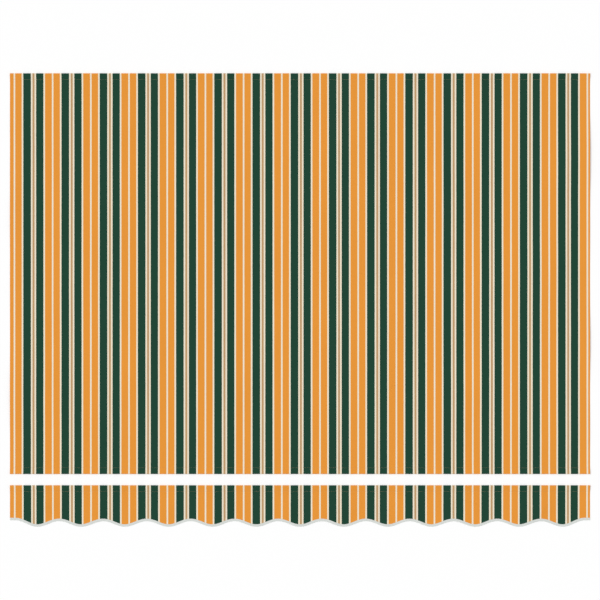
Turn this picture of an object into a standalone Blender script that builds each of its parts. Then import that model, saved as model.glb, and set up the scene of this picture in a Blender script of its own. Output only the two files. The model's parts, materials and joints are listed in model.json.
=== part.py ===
"""Cloth set of a retractable awning, laid out flat with its face up.

The set is the striped canopy, whose two hems are tunnels for the rods that hold it in the
roller tube and in the front bar, and the valance, with a tunnel hem along its top and a
tape-bound scalloped lower edge.

Metres. +X runs along the awning's width, +Y from the valance to the roller tube's edge, and
+Z out of the cloth's face. The floor is Z = 0 and the origin is the middle of the set.
"""

import math

import bmesh
import bpy

# Canopy and valance
CLOTH_WIDTH = 2.9
CANOPY_LENGTH = 2.003
VALANCE_DROP = 0.207  # from its top edge to the lowest point of its scallops
SET_GAP = 0.0565  # between the two as they lie

# Cloth and hems
CLOTH = 0.0005  # thickness
LAYER_GAP = 0.0003  # between layers that lie on each other
HEM_DEPTH = 0.031  # from a hem's outer edge to its stitching
HEM_ALLOWANCE = 0.006  # from the stitching to the end of the turned-in flap
HEM_EASE = 0.009  # length over which the cloth comes down from the flap to the floor

# Rods in the tunnels
ROD_DIAMETER = 0.005
ROD_CLEARANCE = 0.0003  # between a rod and the cloth round it
ROD_SETBACK = 0.003  # from the cloth's side edge in to a rod's end

# Scalloped edge and its binding tape
SCALLOP_PITCH = 0.219
SCALLOP_DEPTH = 0.028  # from a crest to a low
END_STRAIGHT = 0.01  # least straight run at each end of the scallops
END_RISE = 0.0045  # of those straight runs above the crests
TAPE = 0.0004  # thickness
TAPE_WIDTH = 0.012  # that shows on each face
TAPE_EASE = 0.009  # length over which the cloth comes up from the floor into the tape

# Stripe repeat, from left to right, with a cream line after each coloured band
WIDE_GREEN = 0.0382
TAN = 0.01
SLIM_GREEN = 0.0366
WIDE_ORANGE = 0.034
SLIM_ORANGE = 0.0322
CREAM_LINE = 0.008
FIRST_GREEN = 0.0662  # from the cloth's left edge to the first whole green band

# Facets
TURN_STEPS = 14  # in the cloth's turn round a rod
EASE_STEPS = 3  # in each gentle rise or fall of the cloth
TAPE_STEPS = 4  # in the tape's fold
SCALLOP_STEPS = 12
ROD_SIDES = 24

BANDS = (
    ("green", WIDE_GREEN),
    ("tan", TAN),
    ("green", SLIM_GREEN),
    ("orange", WIDE_ORANGE),
    ("orange", SLIM_ORANGE),
)
COLOURS = {  # sRGB, 0 to 255
    "green": (34, 69, 54),
    "cream": (238, 227, 204),
    "tan": (190, 153, 110),
    "orange": (229, 150, 60),
    "binding_white": (220, 219, 213),
    "rod_white": (236, 236, 232),
}
CLOTH_COLOURS = ("green", "cream", "tan", "orange")

TUNNEL_RADIUS = ROD_DIAMETER / 2 + ROD_CLEARANCE + CLOTH  # outside, floor to rod axis
SCALLOPS = int((CLOTH_WIDTH - 2 * END_STRAIGHT) / SCALLOP_PITCH)
SET_LENGTH = CANOPY_LENGTH + SET_GAP + VALANCE_DROP
TAPE_TURN_RADIUS = (TAPE + CLOTH) / 2 + LAYER_GAP  # of the tape's middle surface


def clear_scene():
    for old in list(bpy.data.objects):
        bpy.data.objects.remove(old, do_unlink=True)


def linear(value):
    """Linear light of one sRGB channel, 0 to 255."""
    v = value / 255
    return v / 12.92 if v <= 0.04045 else ((v + 0.055) / 1.055) ** 2.4


def make_material(name, roughness):
    material = bpy.data.materials.new(name)
    material.use_nodes = True
    shader = material.node_tree.nodes["Principled BSDF"]
    colour = (*(linear(v) for v in COLOURS[name]), 1)
    shader.inputs["Base Color"].default_value = colour
    shader.inputs["Roughness"].default_value = roughness
    shader.inputs["Metallic"].default_value = 0
    material.diffuse_color = colour
    return material


def make_group(name, top):
    """An empty on the floor at the middle of a cloth's top edge, which carries that cloth."""
    group = bpy.data.objects.new(name, None)
    group.location = (0, top, 0)
    bpy.context.scene.collection.objects.link(group)
    return group


def make_object(name, bm, materials, group):
    """A named object in a group, with the bmesh as its mesh."""
    mesh = bpy.data.meshes.new(name)
    bm.to_mesh(mesh)
    bm.free()
    for material in materials:
        mesh.materials.append(material)
    mesh.shade_smooth()
    mesh.set_sharp_from_angle(angle=math.radians(35))
    piece = bpy.data.objects.new(name, mesh)
    piece.parent = group
    bpy.context.scene.collection.objects.link(piece)
    return piece


def thicken(piece, thickness):
    """Gives a middle surface its thickness, half to each side."""
    solid = piece.modifiers.new("thickness", "SOLIDIFY")
    solid.thickness = thickness
    solid.offset = 0
    solid.use_even_offset = True


def surface(columns):
    """A bmesh of quads between columns of points that stand side by side."""
    bm = bmesh.new()
    made = [[bm.verts.new(point) for point in column] for column in columns]
    for left, right in zip(made, made[1:]):
        for i in range(len(left) - 1):
            bm.faces.new((left[i], right[i], right[i + 1], left[i + 1]))
    return bm


def ease(start, end, steps):
    """Points of a gentle S from one (y, z) to another, both ends level."""
    points = []
    for i in range(steps + 1):
        t = i / steps
        rise = t * t * (3 - 2 * t)
        y = start[0] + (end[0] - start[0]) * t
        points.append((y, start[1] + (end[1] - start[1]) * rise))
    return points


def hem(edge, side):
    """The cloth's middle surface through a hem, as (y, z) from the field to the flap's end.

    The cloth climbs over its own flap, runs level to the stitching, rises to the rod, turns
    round it and comes back along the floor. side is 1 where the edge faces +Y, else -1.
    """
    on_floor = CLOTH / 2
    on_flap = on_floor + CLOTH + LAYER_GAP
    flap_end = HEM_DEPTH + HEM_ALLOWANCE
    clear_of_flap = flap_end + LAYER_GAP
    path = ease((clear_of_flap + HEM_EASE, on_floor), (clear_of_flap, on_flap), EASE_STEPS)

    seam = (HEM_DEPTH, on_flap)
    path.append(seam)

    turn = TUNNEL_RADIUS - CLOTH / 2
    across = seam[0] - TUNNEL_RADIUS
    down = seam[1] - TUNNEL_RADIUS
    first = math.atan2(down, across) + math.acos(turn / math.hypot(across, down))
    last = 3 * math.pi / 2
    for i in range(TURN_STEPS + 1):
        angle = first + (last - first) * i / TURN_STEPS
        inward = TUNNEL_RADIUS + turn * math.cos(angle)
        path.append((inward, TUNNEL_RADIUS + turn * math.sin(angle)))

    path.append((flap_end, on_floor))
    return [(edge - side * inward, z) for inward, z in path]


def colour_runs():
    """(right end, colour) of each run of one colour across the cloth, from its left edge."""
    repeat = []
    for colour, width in BANDS:
        repeat += [(colour, width), ("cream", CREAM_LINE)]
    length = sum(width for _, width in repeat)
    end = FIRST_GREEN - length * math.ceil(FIRST_GREEN / length) - CLOTH_WIDTH / 2
    runs = []
    while end < CLOTH_WIDTH / 2:
        for colour, width in repeat:
            end += width
            runs.append((end, colour))
    return [(end, colour) for end, colour in runs if end > -CLOTH_WIDTH / 2]


def paint_stripes(bm):
    """Cuts the cloth's faces at the edges of the stripes and colours each of them."""
    runs = colour_runs()
    for end, _ in runs:
        if end < CLOTH_WIDTH / 2:
            whole = bm.verts[:] + bm.edges[:] + bm.faces[:]
            bmesh.ops.bisect_plane(
                bm, geom=whole, dist=1e-6, plane_co=(end, 0, 0), plane_no=(1, 0, 0)
            )
    for face in bm.faces:
        x = face.calc_center_median().x
        colour = next(colour for end, colour in runs if x < end)
        face.material_index = CLOTH_COLOURS.index(colour)


def make_cloth(name, columns, materials, group):
    """A striped cloth, from columns that have Y = 0 at its top edge."""
    bm = surface(columns)
    paint_stripes(bm)
    bmesh.ops.recalc_face_normals(bm, faces=bm.faces)
    thicken(make_object(name, bm, materials, group), CLOTH)


def make_canopy_cloth(materials, group):
    """The canopy: a roller-edge hem, the flat field and a front-edge hem."""
    front = hem(-CANOPY_LENGTH, -1)
    path = front[::-1] + hem(0, 1)
    columns = [[(x, y, z) for y, z in path] for x in (-CLOTH_WIDTH / 2, CLOTH_WIDTH / 2)]
    make_cloth("canopy_cloth", columns, materials, group)


def scalloped_edge(x):
    """(y, slope) of the binding's outer edge at x, with Y = 0 at the valance's top edge."""
    turns = min(max(x / SCALLOP_PITCH + SCALLOPS / 2, 0), SCALLOPS)
    in_end_half = min(turns, SCALLOPS - turns) < 0.5
    height = SCALLOP_DEPTH + (END_RISE if in_end_half else 0)
    angle = 2 * math.pi * turns
    y = height * (1 + math.cos(angle)) / 2 - VALANCE_DROP
    slope = -height * math.pi / SCALLOP_PITCH * math.sin(angle)
    return y, slope


def scallop_stations():
    """X of each station along the scalloped edge, both ends of the valance included."""
    count = SCALLOPS * SCALLOP_STEPS
    start = -SCALLOPS * SCALLOP_PITCH / 2
    wave = [start + SCALLOP_PITCH * i / SCALLOP_STEPS for i in range(count + 1)]
    return [-CLOTH_WIDTH / 2] + wave + [CLOTH_WIDTH / 2]


def make_valance_cloth(materials, group):
    """The valance: a tunnel hem, the flat field and an edge that lies inside the binding."""
    in_tape = TAPE + LAYER_GAP + CLOTH / 2
    raw_edge = TAPE / 2 + TAPE_TURN_RADIUS
    tape_end = TAPE_WIDTH + LAYER_GAP
    columns = []
    for x in scallop_stations():
        edge, slope = scalloped_edge(x)
        along_y = math.hypot(1, slope)
        into_tape = (edge + tape_end * along_y, in_tape)
        off_tape = (edge + (tape_end + TAPE_EASE) * along_y, CLOTH / 2)
        path = [(edge + raw_edge * along_y, in_tape)]
        path += ease(into_tape, off_tape, EASE_STEPS)
        path += hem(0, 1)
        columns.append([(x, y, z) for y, z in path])
    make_cloth("valance_cloth", columns, materials, group)


def make_binding(material, group):
    """The tape folded round the scalloped edge, one leg on each face of the cloth."""
    low = TAPE / 2
    middle = low + TAPE_TURN_RADIUS
    high = middle + TAPE_TURN_RADIUS
    section = [(TAPE_WIDTH, high)]
    for i in range(TAPE_STEPS + 1):
        angle = math.pi * (0.5 + i / TAPE_STEPS)
        inward = middle + TAPE_TURN_RADIUS * math.cos(angle)
        section.append((inward, middle + TAPE_TURN_RADIUS * math.sin(angle)))
    section.append((TAPE_WIDTH, low))

    columns = []
    for x in scallop_stations():
        edge, slope = scalloped_edge(x)
        length = math.hypot(1, slope)
        inward_x = -slope / length
        inward_y = 1 / length
        columns.append([(x + d * inward_x, edge + d * inward_y, z) for d, z in section])
    bm = surface(columns)
    bmesh.ops.recalc_face_normals(bm, faces=bm.faces)
    thicken(make_object("valance_binding", bm, [material], group), TAPE)


def make_rod(name, edge, side, material, group):
    """A rod in the tunnel of the hem whose outer edge is at Y = edge in the group."""
    bm = bmesh.new()
    bmesh.ops.create_cone(
        bm,
        cap_ends=True,
        segments=ROD_SIDES,
        radius1=ROD_DIAMETER / 2,
        radius2=ROD_DIAMETER / 2,
        depth=CLOTH_WIDTH - 2 * ROD_SETBACK,
    )
    rod = make_object(name, bm, [material], group)
    rod.location = (0, edge - side * TUNNEL_RADIUS, TUNNEL_RADIUS)
    rod.rotation_euler = (0, math.pi / 2, 0)


def make_cloth_set():
    clear_scene()
    stripes = [make_material(colour, 0.85) for colour in CLOTH_COLOURS]
    binding_white = make_material("binding_white", 0.7)
    rod_white = make_material("rod_white", 0.35)

    canopy = make_group("canopy", SET_LENGTH / 2)
    make_canopy_cloth(stripes, canopy)
    make_rod("roller_edge_rod", 0, 1, rod_white, canopy)
    make_rod("front_edge_rod", -CANOPY_LENGTH, -1, rod_white, canopy)

    valance = make_group("valance", VALANCE_DROP - SET_LENGTH / 2)
    make_valance_cloth(stripes, valance)
    make_rod("valance_rod", 0, 1, rod_white, valance)
    make_binding(binding_white, valance)


make_cloth_set()
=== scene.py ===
# Looks of the awning's cloth set: two striped cloths that lie face up, their hems with a
# rod in each, the tape round the scalloped edge, and all the sewing.
#
# Metres. +X runs along the awning's width, +Y from the valance to the roller tube's edge,
# +Z up, and the floor is Z = 0.

import json
import math

import bpy
import numpy as np
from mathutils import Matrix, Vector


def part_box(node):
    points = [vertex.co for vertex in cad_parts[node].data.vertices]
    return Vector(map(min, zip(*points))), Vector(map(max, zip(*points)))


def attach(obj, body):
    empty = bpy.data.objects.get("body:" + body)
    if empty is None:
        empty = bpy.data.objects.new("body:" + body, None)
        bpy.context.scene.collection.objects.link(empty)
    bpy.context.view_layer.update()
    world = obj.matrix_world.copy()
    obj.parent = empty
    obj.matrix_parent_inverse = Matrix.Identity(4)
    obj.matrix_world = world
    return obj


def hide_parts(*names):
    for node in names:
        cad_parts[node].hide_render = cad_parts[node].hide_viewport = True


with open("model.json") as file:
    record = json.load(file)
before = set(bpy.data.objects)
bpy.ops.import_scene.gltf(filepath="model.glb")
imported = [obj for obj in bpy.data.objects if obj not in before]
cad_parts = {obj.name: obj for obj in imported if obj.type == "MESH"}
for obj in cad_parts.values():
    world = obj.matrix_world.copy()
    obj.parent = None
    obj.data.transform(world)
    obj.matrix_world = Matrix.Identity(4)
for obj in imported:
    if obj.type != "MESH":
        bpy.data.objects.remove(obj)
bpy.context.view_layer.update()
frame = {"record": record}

# Cloth and hems, as in the solids
CLOTH = 0.0005  # thickness
LAYER_GAP = 0.0003  # between layers that lie on each other
HEM_DEPTH = 0.031  # from a hem's outer edge to its stitching
HEM_ALLOWANCE = 0.006  # from the stitching to the end of the turned-in flap
HEM_EASE = 0.009  # length over which the cloth comes down from the flap to the floor
FIRST_GREEN = 0.0662  # from the cloth's left edge to the first whole green band

# Scalloped edge and its binding tape, as in the solids
SCALLOP_PITCH = 0.219
SCALLOP_DEPTH = 0.028
END_STRAIGHT = 0.01
END_RISE = 0.0045
TAPE = 0.0004
TAPE_WIDTH = 0.012
TAPE_EASE = 0.009

# Rods
ROD_CHAMFER = 0.0005

# Sewing
THREAD = 0.0004  # thickness
HEM_STITCH = 0.0045  # pitch
BINDING_STITCH = 0.0036
STITCH_SHARE = 0.84  # of the pitch that a stitch covers
STITCH_LENGTHS = (0.95, 1.04)  # shortest and longest, against the usual one
STITCH_STRAY = 0.1  # to either side of the seam, in thicknesses of the thread
SEAM_DENT = 0.0002  # by which sewing presses the upper layer down
SEAM_DENT_WIDTH = 0.0025
BINDING_SEAM = 0.0088  # from the binding's outer edge to its stitching

# Gentle rise of the loose cloth off the floor
CANOPY_RISE = 0.0075
CANOPY_CALM = 0.055  # from a hem's outer edge to where the rise begins
CANOPY_LOOSENS = 0.3  # length over which it sets in
CANOPY_LIFTS_FROM = -0.1  # value of waves() at which the cloth leaves the floor
VALANCE_RISE = 0.0045
VALANCE_CALM = 0.045
VALANCE_LOOSENS = 0.07
VALANCE_LIFTS_FROM = -0.2
VALANCE_WAVES = (1.9, 1.4)  # times as many as on the canopy, along X and along Y
LIFT_SPAN = 0.9  # of waves(), from leaving the floor to the full rise
EDGE_RISE = 0.002  # more at the free side edges
EDGE_REACH = 0.09
EDGE_WAVES = 1.9  # a metre along Y
EDGE_STARTS = (0.15, 0.55)  # of the left and the right edge's wave, in turns
VALANCE_EDGE_SHARE = 0.4  # of the edges' rise, on the valance
PUCKER = 0.00028  # beside the hem stitching
PUCKER_REACH = 0.011
PUCKER_LENGTHS = (0.043, 0.031)  # of the two waves that the gathers are made of

# Shares by which sewing gathers the cloths along X, so that their stripes run closer
CANOPY_GATHER = 0.00024
VALANCE_GATHER = 0.00126

# Fineness of the meshes
CANOPY_COLUMNS = 460
CANOPY_FIELD_ROWS = 24
VALANCE_STEPS = 56  # columns to a scallop
VALANCE_FIELD_ROWS = 8
BINDING_STEPS = 72
ROD_SIDES = 40
ROD_STATIONS = 16
STITCH_SIDES = 6

# Maps for bakes, cut into strips that lie under each other. Columns divide evenly by strips
BAKE_WIDTH = 1024  # pixels
CANOPY_STRIPS = 5
VALANCE_STRIPS = 5
BINDING_STRIPS = 14

# Weave
YARN = 0.00055  # from one yarn of the cloth to the next
RIB = 0.0011  # from one rib of the binding tape to the next

# View and light
PHOTO_WIDTH = 3.0  # of the floor that the photo's frame takes in
LENS = 200  # millimetres, on a sensor 36 wide
AMBIENT = 0.55  # share of the light that comes evenly from all round
FLOOR_SIZE = 160
FLOOR_DROP = 0.0004  # of the stage's floor under Z = 0, clear of the lowest thread
FLOOR_GLOW = 0.1  # adds what the pale floor lacks to pure white, for the camera only
LAMP_SPREAD = 40  # degrees
LAMP_TILT = (-10, -30)  # degrees about X and about Y, from straight down

COLOURS = {  # sRGB, 0 to 255
    "dark green": (28, 66, 50),
    "cream": (239, 228, 205),
    "tan": (191, 154, 110),
    "orange": (233, 151, 57),
    "backing": (196, 194, 184),
    "binding": (216, 220, 216),
    "hem thread": (188, 164, 128),
    "binding thread": (222, 225, 220),
    "rod": (236, 236, 232),
    "floor": (243, 243, 243),
}

PATTERN = frame["record"]["materials"][0]["pattern"]
CANOPY_LOW, CANOPY_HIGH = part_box("canopy_cloth")
VALANCE_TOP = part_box("valance_cloth")[1].y
VALANCE_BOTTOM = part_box("valance_binding")[0].y
LEFT, RIGHT = CANOPY_LOW.x, CANOPY_HIGH.x
ROD_LOW, ROD_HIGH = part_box("roller_edge_rod")
TUNNEL_RADIUS = (ROD_LOW.z + ROD_HIGH.z) / 2  # outside of the cloth's turn round a rod
SCALLOPS = int((RIGHT - LEFT - 2 * END_STRAIGHT) / SCALLOP_PITCH)
TAPE_TURN_RADIUS = (TAPE + CLOTH) / 2 + LAYER_GAP  # of the tape's middle surface


def linear(name):
    """A named colour in linear light, with alpha."""
    channels = [c / 255 for c in COLOURS[name]]
    return (*(c / 12.92 if c <= 0.04045 else ((c + 0.055) / 1.055) ** 2.4 for c in channels), 1)


def smooth(t):
    """0 to 1 with level ends, for t from 0 to 1."""
    t = np.clip(t, 0, 1)
    return t * t * (3 - 2 * t)


# How the cloths lie


def waves(x, y):
    """Long waves that cross the cloth in several directions, from -1 to 1."""
    turns = (  # a metre along X, a metre along Y, start, weight
        (0.9, 1.3, 0.10, 1.0),
        (1.7, -0.8, 0.37, 0.8),
        (-0.6, 2.1, 0.61, 0.7),
        (2.6, 0.9, 0.83, 0.45),
        (3.4, -2.3, 0.29, 0.3),
    )
    total = sum(weight * np.sin(2 * math.pi * (a * x + b * y + s)) for a, b, s, weight in turns)
    return total / sum(weight for *_, weight in turns)


def pucker(x, y, seam):
    """The small gathers that sewing leaves beside a seam along X."""
    first, second = PUCKER_LENGTHS
    along = np.sin(2 * math.pi * x / first) + np.sin(2 * math.pi * x / second + 1.7)
    return PUCKER * (0.5 + 0.25 * along) * np.exp(-(((y - seam) / PUCKER_REACH) ** 2))


def edge_wave(x, y):
    """The rise of the free side edges."""
    from_edge = np.minimum(x - LEFT, RIGHT - x)
    start = np.where(x < 0, *EDGE_STARTS)
    along = 0.5 + 0.5 * np.sin(2 * math.pi * (EDGE_WAVES * y + start))
    return EDGE_RISE * along * np.exp(-np.abs(from_edge) / EDGE_REACH)


def canopy_rise(x, y):
    """How far the canopy's layers are off the floor at (x, y)."""
    inside = np.minimum(CANOPY_HIGH.y - y, y - CANOPY_LOW.y)
    loose = smooth((inside - CANOPY_CALM) / CANOPY_LOOSENS)
    crossing = CANOPY_RISE * smooth((waves(x, y) - CANOPY_LIFTS_FROM) / LIFT_SPAN)
    seams = pucker(x, y, CANOPY_HIGH.y - HEM_DEPTH) + pucker(x, y, CANOPY_LOW.y + HEM_DEPTH)
    return loose * (crossing + edge_wave(x, y)) + seams


def valance_rise(x, y):
    """How far the valance's layers are off the floor at (x, y)."""
    middle = 4 * (VALANCE_TOP - y) * (y - VALANCE_BOTTOM) / (VALANCE_TOP - VALANCE_BOTTOM) ** 2
    loose = smooth((VALANCE_TOP - y - VALANCE_CALM) / VALANCE_LOOSENS) * np.clip(middle, 0, 1)
    height = waves(VALANCE_WAVES[0] * x, VALANCE_WAVES[1] * y)
    crossing = VALANCE_RISE * smooth((height - VALANCE_LIFTS_FROM) / LIFT_SPAN)
    edges = VALANCE_EDGE_SHARE * edge_wave(x, y)
    return loose * (crossing + edges) + pucker(x, y, VALANCE_TOP - HEM_DEPTH)


# Outlines


def ease(start, end, steps):
    """Points of a gentle S from one (y, z) to another, both ends level."""
    t = np.linspace(0, 1, steps + 1)
    return list(zip(start[0] + (end[0] - start[0]) * t, start[1] + (end[1] - start[1]) * smooth(t)))


def hem(edge, side):
    """The cloth's middle surface through a hem, as (y, z) from the field to the flap's end.

    The cloth climbs over its own flap, is pressed down at the stitching, rises to the rod,
    turns round it and comes back along the floor. side is 1 where the edge faces +Y, else -1.
    """
    on_floor = CLOTH / 2
    on_flap = on_floor + CLOTH + LAYER_GAP
    flap_end = HEM_DEPTH + HEM_ALLOWANCE
    clear_of_flap = flap_end + LAYER_GAP
    before_seam = (0.004, 0.0025, 0.0012)  # metres from the stitching
    to_rod = (0, 0.045, 0.09, 0.16, 0.3, 0.5, 0.75)  # shares of the way to the rod
    over = ease((clear_of_flap + HEM_EASE, on_floor), (clear_of_flap, on_flap), 5)
    over += [(HEM_DEPTH + d, on_flap) for d in before_seam]

    turn = TUNNEL_RADIUS - CLOTH / 2
    across = HEM_DEPTH - TUNNEL_RADIUS
    down = on_flap - TUNNEL_RADIUS
    first = math.atan2(down, across) + math.acos(turn / math.hypot(across, down))
    touch = (TUNNEL_RADIUS + turn * math.cos(first), TUNNEL_RADIUS + turn * math.sin(first))
    for share in to_rod:
        over.append(
            (HEM_DEPTH + (touch[0] - HEM_DEPTH) * share, on_flap + (touch[1] - on_flap) * share)
        )
    path = [
        (d, z - SEAM_DENT * math.exp(-(((d - HEM_DEPTH) / SEAM_DENT_WIDTH) ** 2)))
        for d, z in over
    ]
    for angle in np.linspace(first, 3 * math.pi / 2, 21):
        path.append(
            (TUNNEL_RADIUS + turn * math.cos(angle), TUNNEL_RADIUS + turn * math.sin(angle))
        )
    path += [(d, on_floor) for d in np.linspace(TUNNEL_RADIUS, flap_end, 6)[1:]]
    return [(edge - side * d, z) for d, z in path]


def scalloped_edge(x):
    """(y, slope) of the binding's outer edge at x."""
    turns = np.clip(x / SCALLOP_PITCH + SCALLOPS / 2, 0, SCALLOPS)
    in_end_half = np.minimum(turns, SCALLOPS - turns) < 0.5
    height = SCALLOP_DEPTH + np.where(in_end_half, END_RISE, 0)
    angle = 2 * math.pi * turns
    y = height * (1 + np.cos(angle)) / 2 + VALANCE_BOTTOM
    slope = -height * math.pi / SCALLOP_PITCH * np.sin(angle)
    return y, slope


# Meshes


def both_sides(path, thickness):
    """The two faces of a sheet, from its middle surface as (..., points, 2)."""
    step = np.diff(path, axis=-2)
    step /= np.linalg.norm(step, axis=-1, keepdims=True)
    left = np.stack([-step[..., 1], step[..., 0]], -1)
    before = np.concatenate([left[..., :1, :], left], -2)
    after = np.concatenate([left, left[..., -1:, :]], -2)
    normal = before + after
    normal /= np.linalg.norm(normal, axis=-1, keepdims=True)
    reach = thickness / 2 / np.clip((normal * after).sum(-1, keepdims=True), 0.5, 1)
    return path + reach * normal, path - reach * normal


def make_piece(name, points, faces, corner_maps, face_materials, materials, sharp=40):
    """A riding piece from points, faces and one (u, v) a face corner for each named map."""
    mesh = bpy.data.meshes.new(name)
    mesh.from_pydata(points.tolist(), [], faces)
    for material in materials:
        mesh.materials.append(material)
    if face_materials is not None:
        mesh.polygons.foreach_set("material_index", face_materials)
    for map_name, corners in corner_maps.items():
        layer = mesh.uv_layers.new(name=map_name)
        layer.uv.foreach_set("vector", np.asarray(corners, np.float32).ravel())
    mesh.shade_smooth()
    mesh.set_sharp_from_angle(angle=math.radians(sharp))
    mesh.update()
    piece = bpy.data.objects.new(name, mesh)
    bpy.context.scene.collection.objects.link(piece)
    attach(piece, "root")
    return piece


def make_sheet(name, outer, inner, along, strips, materials):
    """A closed sheet between two grids of points of shape (columns, rows, 3).

    along is the length in metres from the first column to each column. The outer grid gets
    materials[0], and the rest materials[1]. The map for bakes gives each strip of columns a
    band of its own on each side, so that narrow stripes stay sharp.
    """
    columns, rows = outer.shape[:2]
    across = np.linalg.norm(np.diff(outer, axis=1), axis=2).mean(0)
    across = np.concatenate([[0], np.cumsum(across)])
    per_strip = (columns - 1) // strips
    bands = 2 * strips
    margin = np.array([2, 2 * bands]) / BAKE_WIDTH

    between_columns, between_rows = np.arange(columns - 1), np.arange(rows - 1)
    groups = (  # columns, rows, corners as (column, row, 1 on the inner grid), way out
        (between_columns, between_rows, ((0, 0, 0), (1, 0, 0), (1, 1, 0), (0, 1, 0)), None),
        (between_columns, between_rows, ((0, 0, 1), (0, 1, 1), (1, 1, 1), (1, 0, 1)), None),
        (between_columns, 0, ((0, 0, 0), (0, 0, 1), (1, 0, 1), (1, 0, 0)), (0, -1)),
        (between_columns, rows - 1, ((0, 0, 0), (1, 0, 0), (1, 0, 1), (0, 0, 1)), (0, 1)),
        (0, between_rows, ((0, 0, 0), (0, 1, 0), (0, 1, 1), (0, 0, 1)), (-1, 0)),
        (columns - 1, between_rows, ((0, 0, 0), (0, 0, 1), (0, 1, 1), (0, 1, 0)), (1, 0)),
    )
    faces, threads, bakes, slots = [], [], [], []
    for group_columns, group_rows, corners, way_out in groups:
        i, j = (g.ravel() for g in np.meshgrid(group_columns, group_rows, indexing="ij"))
        corner_i, corner_j, on_inner = np.array(corners).T
        corner_i, corner_j = i[:, None] + corner_i, j[:, None] + corner_j
        faces.append((on_inner * columns + corner_i) * rows + corner_j)
        threads.append(np.stack([along[corner_i], across[corner_j]], -1))

        strip = (i // per_strip)[:, None]
        place = np.stack([corner_i / per_strip - strip, across[corner_j] / across[-1]], -1)
        place = margin + (1 - 2 * margin) * place
        if way_out:
            place += on_inner[:, None] * way_out * margin / 2
        inner_face = way_out is None and on_inner.all()
        place[..., 1] = (2 * strip + inner_face + place[..., 1]) / bands
        bakes.append(place)
        slots.append(np.full(len(i), 0 if way_out is None and not inner_face else 1))
    return make_piece(
        name,
        np.concatenate([outer.reshape(-1, 3), inner.reshape(-1, 3)]),
        np.concatenate(faces).tolist(),
        {
            "threads": np.concatenate(threads).reshape(-1, 2),
            "OFBake": np.concatenate(bakes).reshape(-1, 2),
        },
        np.concatenate(slots),
        materials,
    )


def lay(columns_x, paths, rise):
    """Points of the two faces of a cloth, from its middle paths (y, z) at each column's X."""
    middle = np.broadcast_to(paths, (len(columns_x), *np.shape(paths)[-2:]))
    x = np.broadcast_to(columns_x[:, None], middle.shape[:2])
    lifted = rise(x, middle[..., 0])
    return [
        np.stack([x, face[..., 0], face[..., 1] + lifted], -1)
        for face in both_sides(middle, CLOTH)
    ]


def make_canopy(materials):
    """The canopy's cloth, with a tunnel hem at the roller edge and at the front edge."""
    columns_x = np.linspace(LEFT, RIGHT, CANOPY_COLUMNS + 1)
    front = hem(CANOPY_LOW.y, -1)[::-1]
    back = hem(CANOPY_HIGH.y, 1)
    field = np.linspace(front[-1][0], back[0][0], CANOPY_FIELD_ROWS + 1)[1:-1]
    path = front + [(y, CLOTH / 2) for y in field] + back
    outer, inner = lay(columns_x, path, canopy_rise)
    along = columns_x * (1 + CANOPY_GATHER) - LEFT
    piece = make_sheet("canopy_fabric", outer, inner, along, CANOPY_STRIPS, materials)
    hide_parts("canopy_cloth")
    return piece


def scallop_columns(steps):
    """X of columns along the scalloped edge, with a whole number of steps a scallop."""
    half = SCALLOPS * SCALLOP_PITCH / 2
    wave = np.linspace(-half, half, SCALLOPS * steps + 1)
    return np.concatenate([[LEFT], wave, [RIGHT]])


def make_valance(materials):
    """The valance's cloth: its lower edge lies inside the binding, its upper one in a hem."""
    columns_x = scallop_columns(VALANCE_STEPS)
    in_tape = TAPE + LAYER_GAP + CLOTH / 2
    raw_edge = TAPE / 2 + TAPE_TURN_RADIUS
    tape_end = TAPE_WIDTH + LAYER_GAP
    top = hem(VALANCE_TOP, 1)
    edge, slope = scalloped_edge(columns_x)
    along_y = np.hypot(1, slope)
    paths = []
    for bottom, stretch in zip(edge, along_y):
        into_tape = (bottom + tape_end * stretch, in_tape)
        off_tape = (bottom + (tape_end + TAPE_EASE) * stretch, CLOTH / 2)
        path = [(bottom + raw_edge * stretch, in_tape), *ease(into_tape, off_tape, 5)]
        field = np.linspace(path[-1][0], top[0][0], VALANCE_FIELD_ROWS + 1)[1:-1]
        paths.append(path + [(y, CLOTH / 2) for y in field] + top)
    outer, inner = lay(columns_x, np.array(paths), valance_rise)
    along = columns_x * (1 + VALANCE_GATHER) - LEFT
    piece = make_sheet("valance_fabric", outer, inner, along, VALANCE_STRIPS, materials)
    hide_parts("valance_cloth")
    return piece


def along_edge(x, inward):
    """Points (x, y) at a distance inward from the scalloped edge, square to it."""
    edge, slope = scalloped_edge(x)
    length = np.hypot(1, slope)
    return np.stack([x - inward * slope / length, edge + inward / length], -1)


def make_binding(material):
    """The tape folded round the scalloped edge, one leg on each face of the cloth."""
    low = TAPE / 2
    middle = low + TAPE_TURN_RADIUS
    high = middle + TAPE_TURN_RADIUS
    legs = np.linspace(TAPE_WIDTH, middle, 7)[:-1]
    section = [(d, low) for d in legs]
    for angle in np.linspace(1.5 * math.pi, 0.5 * math.pi, 9):
        turn = (TAPE_TURN_RADIUS * math.cos(angle), TAPE_TURN_RADIUS * math.sin(angle))
        section.append((middle + turn[0], middle + turn[1]))
    for d in legs[::-1]:
        dent = SEAM_DENT * math.exp(-(((d - BINDING_SEAM) / SEAM_DENT_WIDTH) ** 2))
        section.append((d, high - dent))

    columns_x = scallop_columns(BINDING_STEPS)
    x = columns_x[:, None]
    section = np.array(section)
    at = along_edge(x, section[:, 0])
    lifted = valance_rise(at[..., 0], at[..., 1])
    faces = []
    for face in both_sides(section, TAPE):
        place = along_edge(x, face[:, 0])
        height = face[:, 1] + lifted
        faces.append(np.concatenate([place, height[..., None]], -1))
    steps = np.linalg.norm(np.diff(faces[0][:, 0], axis=0), axis=1)
    along = np.concatenate([[0], np.cumsum(steps)])
    piece = make_sheet("scallop_binding", *faces, along, BINDING_STRIPS, [material, material])
    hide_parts("valance_binding")
    return piece


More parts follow.
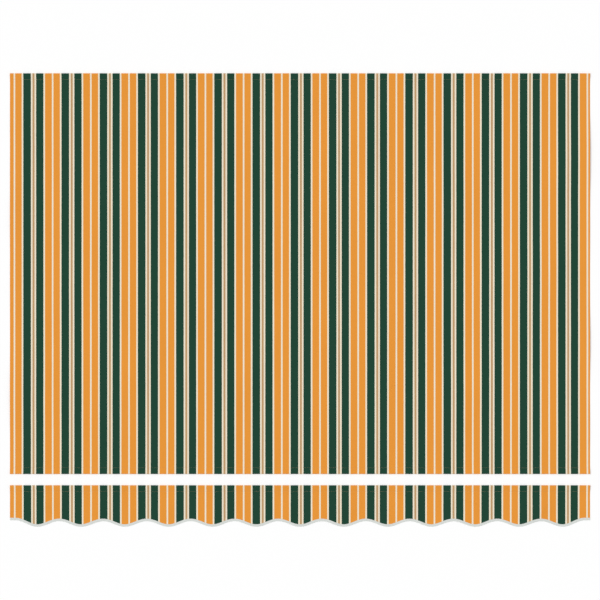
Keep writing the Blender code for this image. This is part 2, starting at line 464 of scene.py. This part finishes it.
def make_rod(node, material):
    """A round plastic rod with chamfered ends, in the place of the CAD rod."""
    low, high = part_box(node)
    radius = (high.z - low.z) / 2
    centre_y, centre_z = (low.y + high.y) / 2, (low.z + high.z) / 2
    inner = np.linspace(low.x + ROD_CHAMFER, high.x - ROD_CHAMFER, ROD_STATIONS)
    x = np.concatenate([[low.x], inner, [high.x]])
    radii = np.full(len(x), radius)
    radii[[0, -1]] -= ROD_CHAMFER
    turn = np.arange(ROD_SIDES) / ROD_SIDES
    around = np.stack([np.cos(2 * math.pi * turn), np.sin(2 * math.pi * turn)], -1)
    skin = np.empty((len(x), ROD_SIDES, 3))
    skin[..., 0] = x[:, None]
    skin[..., 1:] = (centre_y, centre_z) + radii[:, None, None] * around
    quads, caps, corners = tube_faces(len(x), ROD_SIDES)
    where = np.stack([x[corners[:, 0]] - low.x, corners[:, 1] / ROD_SIDES], -1)
    shares = corners / (len(x) - 1, ROD_SIDES)
    piece = make_piece(
        node.replace("_rod", "_welt_rod"),
        skin.reshape(-1, 3),
        quads.tolist() + caps.tolist(),
        {"threads": where, "OFBake": shares},
        None,
        [material],
    )
    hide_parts(node)
    return piece


def tube_faces(rings, sides):
    """Faces of a tube, its two caps, and (ring, side) of each of their corners in turn."""
    ring, side = np.meshgrid(np.arange(rings - 1), np.arange(sides), indexing="ij")
    ring, side = ring.ravel()[:, None] + (0, 0, 1, 1), side.ravel()[:, None] + (0, 1, 1, 0)
    quads = ring * sides + side % sides
    around = np.arange(sides)
    caps = np.array([around[::-1], (rings - 1) * sides + around])
    cap_corners = np.stack([caps // sides, caps % sides], -1).reshape(-1, 2)
    corners = np.stack([ring, side], -1).reshape(-1, 2)
    return quads, caps, np.concatenate([corners, cap_corners])


# Sewing


def make_stitches(name, rows, material, seed):
    """Stitches of one seam, from rows of (centres, ways along, 1 or -1 for out, pitch).

    A stitch is a short thread that comes up out of the cloth and goes down into it again.
    """
    random = np.random.default_rng(seed)
    share = np.array([-0.5, -0.4, -0.2, 0, 0.2, 0.4, 0.5])
    radii = THREAD / 2 * np.array([0.55, 0.85, 1, 1, 1, 0.85, 0.55])
    heights = THREAD / 2 * np.array([-1.1, -0.1, 0.45, 0.55, 0.45, -0.1, -1.1])
    angle = 2 * math.pi * np.arange(STITCH_SIDES) / STITCH_SIDES
    quads, caps, corners = tube_faces(len(share), STITCH_SIDES)
    shares = corners / (len(share) - 1, STITCH_SIDES)
    size = len(share) * STITCH_SIDES
    points, lengths = [], []
    for centres, ways, out, pitch in rows:
        count = len(centres)
        length = pitch * STITCH_SHARE * random.uniform(*STITCH_LENGTHS, count)
        stray = random.uniform(-STITCH_STRAY, STITCH_STRAY, count) * THREAD
        forward = ways / np.linalg.norm(ways, axis=1, keepdims=True) * out
        aside = np.stack([-forward[:, 1], forward[:, 0], np.zeros(count)], -1)
        spine = centres[:, None] + forward[:, None] * (share * length[:, None])[..., None]
        spine += aside[:, None] * stray[:, None, None]
        spine[..., 2] += out * heights
        beside = radii[:, None] * np.cos(angle)
        above = radii[:, None] * np.sin(angle)
        skin = spine[:, :, None] + aside[:, None, None] * beside[None, ..., None]
        skin[..., 2] += out * above
        points.append(skin.reshape(-1, 3))
        lengths.append(length)
    points, lengths = np.concatenate(points), np.concatenate(lengths)
    firsts = np.arange(len(lengths))[:, None, None] * size
    sides = (firsts + quads).reshape(-1, 4)
    ends = (firsts + caps).reshape(-1, STITCH_SIDES)
    parts = (shares[: quads.size], shares[quads.size :])
    maps = np.concatenate([np.tile(part, (len(lengths), 1)) for part in parts])
    piece = make_piece(
        name, points, sides.tolist() + ends.tolist(), {"OFBake": maps}, None, [material]
    )
    return piece


def hem_seam(seam_y, rise):
    """The rows of stitches of a hem, on its face and on its flap."""
    x = np.arange(LEFT + HEM_STITCH, RIGHT - HEM_STITCH / 2, HEM_STITCH)
    y = np.full(len(x), seam_y)
    lifted = rise(x, y)
    ways = np.stack([np.ones(len(x)), np.zeros(len(x)), np.gradient(lifted, x)], -1)
    on_face = 2 * CLOTH + LAYER_GAP - SEAM_DENT
    return [
        (np.stack([x, y, lifted + on_face], -1), ways, 1, HEM_STITCH),
        (np.stack([x, y, lifted], -1), ways, -1, HEM_STITCH),
    ]


def binding_seam():
    """The rows of stitches through the binding, on its upper leg and on its lower one."""
    fine = along_edge(scallop_columns(400), BINDING_SEAM)
    along = np.concatenate([[0], np.cumsum(np.linalg.norm(np.diff(fine, axis=0), axis=1))])
    stops = np.arange(BINDING_STITCH, along[-1] - BINDING_STITCH / 2, BINDING_STITCH)
    x, y = (np.interp(stops, along, fine[:, k]) for k in (0, 1))
    lifted = valance_rise(x, y)
    ways = np.stack([np.gradient(v, stops) for v in (x, y, lifted)], -1)
    on_tape = TAPE + 2 * TAPE_TURN_RADIUS - SEAM_DENT
    return [
        (np.stack([x, y, lifted + on_tape], -1), ways, 1, BINDING_STITCH),
        (np.stack([x, y, lifted], -1), ways, -1, BINDING_STITCH),
    ]


# Materials


def start_material(name):
    """A material's node tree and its shader."""
    material = bpy.data.materials.new(name)
    material.use_nodes = True
    return material, material.node_tree, material.node_tree.nodes["Principled BSDF"]


def add(tree, kind, inputs=(), **settings):
    """A node with these settings. Its inputs are numbers, colours or other nodes' outputs."""
    made = tree.nodes.new("ShaderNode" + kind)
    for name, value in settings.items():
        setattr(made, name, value)
    for name, value in dict(inputs).items():
        if isinstance(value, bpy.types.NodeSocket):
            tree.links.new(value, made.inputs[name])
        else:
            made.inputs[name].default_value = value
    return made


def maths(tree, operation, a, b=0.0):
    return add(tree, "Math", {0: a, 1: b}, operation=operation).outputs[0]


def places(tree):
    """(u, v): metres along a cloth's width or a tape's length, and across it."""
    split = add(tree, "SeparateXYZ", {0: add(tree, "UVMap", uv_map="threads").outputs[0]})
    return split.outputs[0], split.outputs[1]


def noise(tree, u, v, along_u, along_v, detail=2.0):
    """Noise of about 0 to 1, with so many turns a metre along u and along v."""
    u, v = maths(tree, "MULTIPLY", u, along_u), maths(tree, "MULTIPLY", v, along_v)
    vector = add(tree, "CombineXYZ", {0: u, 1: v}).outputs[0]
    return add(tree, "TexNoise", {"Vector": vector, "Scale": 1.0, "Detail": detail}).outputs[0]


def mix(tree, share, a, b):
    """Colour a with a share of colour b."""
    return add(tree, "Mix", {0: share, 6: a, 7: b}, data_type="RGBA").outputs[2]


def waver(tree, value, low, high):
    """Maps noise of 0.25 to 0.75 to low to high."""
    inputs = {"Value": value, "From Min": 0.25, "From Max": 0.75, "To Min": low, "To Max": high}
    return add(tree, "MapRange", inputs).outputs[0]


def shade(tree, colour, *factors):
    """A colour made lighter or darker by factors near 1."""
    factor = factors[0]
    for other in factors[1:]:
        factor = maths(tree, "MULTIPLY", factor, other)
    return add(tree, "HueSaturation", {"Color": colour, "Value": factor}).outputs[0]


def bumps(tree, shader, *layers):
    """Relief from (height, metres that 0 to 1 rises) layers."""
    normal = None
    for height, distance in layers:
        inputs = {"Height": height, "Distance": distance, "Strength": 1.0}
        if normal:
            inputs["Normal"] = normal
        normal = add(tree, "Bump", inputs).outputs[0]
    tree.links.new(normal, shader.inputs["Normal"])


def stripes(tree, u):
    """The colour of the stripe at u metres from the cloth's left edge.

    Each band covers the ones before it from its own left edge on. A colour ramp would keep
    only 256 steps a repeat, which are coarser than the edges of the stripes.
    """
    turns = maths(tree, "DIVIDE", maths(tree, "SUBTRACT", u, FIRST_GREEN), PATTERN["repeat_m"])
    place = maths(tree, "MULTIPLY", maths(tree, "FRACT", turns), PATTERN["repeat_m"])
    bands = list(zip(PATTERN["bands"].split(", "), PATTERN["widths_m"]))
    colour, start = linear(bands[0][0]), bands[0][1]
    for name, width in bands[1:]:
        colour = mix(tree, maths(tree, "GREATER_THAN", place, start), colour, linear(name))
        start += width
    return colour


def weave(tree, u, v):
    """Plain weave: 0 between the yarns to 1 on top of each."""
    rows = maths(tree, "SINE", maths(tree, "MULTIPLY", u, math.pi / YARN))
    columns = maths(tree, "SINE", maths(tree, "MULTIPLY", v, math.pi / YARN))
    return maths(tree, "ABSOLUTE", maths(tree, "MULTIPLY", rows, columns))


def cloth_material(name, backing, roughness, yarn_relief):
    """Striped woven cloth. backing is how much its coating hides the stripes."""
    material, tree, shader = start_material(name)
    u, v = places(tree)
    yarns = weave(tree, u, v)
    streaks = noise(tree, u, v, 620, 5, 3.0)
    patches = noise(tree, u, v, 4, 3)
    colour = stripes(tree, u)
    if backing:
        colour = mix(tree, backing, colour, linear("backing"))
    # The weave also darkens the colour between the yarns and lightens it on their tops: painted
    # shade and highlight of the yarns' relief, beside the real streaks and patches of tone.
    colour = shade(
        tree, colour,
        waver(tree, streaks, 0.97, 1.03), waver(tree, patches, 0.99, 1.01),
        add(tree, "MapRange", {"Value": yarns, "To Min": 0.94, "To Max": 1.035}).outputs[0],
    )
    tree.links.new(colour, shader.inputs["Base Color"])
    matt = waver(tree, streaks, roughness - 0.04, roughness + 0.04)
    tree.links.new(matt, shader.inputs["Roughness"])
    shader.inputs["Specular IOR Level"].default_value = 0.12
    shader.inputs["Sheen Weight"].default_value = 0.05
    shader.inputs["Sheen Roughness"].default_value = 0.5
    cockle = noise(tree, u, v, 70, 55)
    bumps(tree, shader, (cockle, 0.0002), (streaks, 0.00004), (yarns, yarn_relief))
    return material


def tape_material():
    """Woven binding tape, with ribs across its length."""
    material, tree, shader = start_material("ribbed_tape")
    u, v = places(tree)
    ribs = maths(tree, "ABSOLUTE", maths(tree, "SINE", maths(tree, "MULTIPLY", u, math.pi / RIB)))
    fibres = noise(tree, u, v, 900, 2600)
    patches = noise(tree, u, v, 14, 60)
    # The ribs also darken the colour in the grooves between them and lighten it on their crests:
    # painted shade and highlight of the ribs' relief, beside the real patches and fibres of tone.
    colour = shade(
        tree, linear("binding"),
        waver(tree, patches, 0.98, 1.02), waver(tree, fibres, 0.98, 1.02),
        add(tree, "MapRange", {"Value": ribs, "To Min": 0.9, "To Max": 1.03}).outputs[0],
    )
    tree.links.new(colour, shader.inputs["Base Color"])
    tree.links.new(waver(tree, fibres, 0.68, 0.8), shader.inputs["Roughness"])
    shader.inputs["Specular IOR Level"].default_value = 0.2
    shader.inputs["Sheen Weight"].default_value = 0.05
    bumps(tree, shader, (ribs, 0.00012), (fibres, 0.00002))
    return material


def thread_material(name):
    """Twisted sewing thread."""
    material, tree, shader = start_material(name.replace(" ", "_"))
    where = add(tree, "TexCoord").outputs["Object"]
    fibres = add(tree, "TexNoise", {"Vector": where, "Scale": 2200.0, "Detail": 2.0}).outputs[0]
    tree.links.new(
        shade(tree, linear(name), waver(tree, fibres, 0.9, 1.1)), shader.inputs["Base Color"]
    )
    shader.inputs["Roughness"].default_value = 0.55
    shader.inputs["Specular IOR Level"].default_value = 0.3
    shader.inputs["Sheen Weight"].default_value = 0.1
    bumps(tree, shader, (fibres, 0.00005))
    return material


def rod_material():
    """Extruded white plastic with faint lines along it."""
    material, tree, shader = start_material("welt_rod_plastic")
    u, v = places(tree)
    lines = noise(tree, u, v, 3, 40, 3.0)
    patches = noise(tree, u, v, 25, 2)
    tree.links.new(
        shade(tree, linear("rod"), waver(tree, patches, 0.97, 1.0)), shader.inputs["Base Color"]
    )
    tree.links.new(waver(tree, lines, 0.3, 0.42), shader.inputs["Roughness"])
    bumps(tree, shader, (lines, 0.00004))
    return material


def seen_directly(tree):
    """1 for rays from the camera, a mirror or glass, else 0."""
    path = add(tree, "LightPath").outputs
    either = maths(tree, "MAXIMUM", path["Is Camera Ray"], path["Is Glossy Ray"])
    return maths(tree, "MAXIMUM", either, path["Is Transmission Ray"])


# Stage


def make_floor():
    mesh = bpy.data.meshes.new("floor")
    half = FLOOR_SIZE / 2
    corners = [(-half, -half), (half, -half), (half, half), (-half, half)]
    mesh.from_pydata([(x, y, -FLOOR_DROP) for x, y in corners], [], [(0, 1, 2, 3)])
    floor = bpy.data.objects.new("floor", mesh)
    bpy.context.scene.collection.objects.link(floor)
    material, tree, shader = start_material("pale_floor")
    shader.inputs["Base Color"].default_value = linear("floor")
    shader.inputs["Roughness"].default_value = 1.0
    shader.inputs["Specular IOR Level"].default_value = 0.0
    shader.inputs["Emission Color"].default_value = (1, 1, 1, 1)
    glow = maths(tree, "MULTIPLY", seen_directly(tree), FLOOR_GLOW)
    tree.links.new(glow, shader.inputs["Emission Strength"])
    mesh.materials.append(material)


def make_light():
    """An even white surround, and one broad soft lamp high up on the left."""
    world = bpy.data.worlds.new("surround")
    bpy.context.scene.world = world
    world.use_nodes = True
    tree = world.node_tree
    background = tree.nodes["Background"]
    background.inputs["Color"].default_value = (1, 1, 1, 1)
    rest = maths(tree, "MULTIPLY", seen_directly(tree), 1 - AMBIENT)
    tree.links.new(maths(tree, "ADD", rest, AMBIENT), background.inputs["Strength"])

    lamp = bpy.data.lights.new("soft_lamp", "SUN")
    lamp.angle = math.radians(LAMP_SPREAD)
    holder = bpy.data.objects.new("soft_lamp", lamp)
    holder.rotation_euler = (*map(math.radians, LAMP_TILT), 0)
    bpy.context.scene.collection.objects.link(holder)
    bpy.context.view_layer.update()
    lamp.energy = math.pi * (1 - AMBIENT) / holder.matrix_world.col[2].z


def make_camera():
    """Straight above the middle of the set, as the photo looks at it."""
    camera = bpy.data.cameras.new("camera")
    camera.lens = LENS
    holder = bpy.data.objects.new("camera", camera)
    holder.location = (0, 0, PHOTO_WIDTH * LENS / camera.sensor_width)
    bpy.context.scene.collection.objects.link(holder)
    bpy.context.scene.camera = holder


def dress():
    face = cloth_material("striped_cloth_face", backing=0, roughness=0.88, yarn_relief=0.00009)
    back = cloth_material("striped_cloth_back", backing=0.3, roughness=0.7, yarn_relief=0.00005)
    hem_thread = thread_material("hem thread")
    binding_thread = thread_material("binding thread")
    plastic = rod_material()

    canopy = make_canopy([face, back])
    roller_seam = hem_seam(CANOPY_HIGH.y - HEM_DEPTH, canopy_rise)
    front_seam = hem_seam(CANOPY_LOW.y + HEM_DEPTH, canopy_rise)
    canopy_sewing = [
        make_stitches("roller_edge_stitching", roller_seam, hem_thread, 1),
        make_stitches("front_edge_stitching", front_seam, hem_thread, 2),
    ]
    valance = make_valance([face, back])
    binding = make_binding(tape_material())
    valance_seam = hem_seam(VALANCE_TOP - HEM_DEPTH, valance_rise)
    valance_sewing = [
        make_stitches("valance_hem_stitching", valance_seam, hem_thread, 3),
        make_stitches("binding_stitching", binding_seam(), binding_thread, 4),
    ]
    for node in ("roller_edge_rod", "front_edge_rod", "valance_rod"):
        make_rod(node, plastic)


make_floor()
make_light()
make_camera()
dress()
bpy.context.scene.view_settings.view_transform = "Standard"
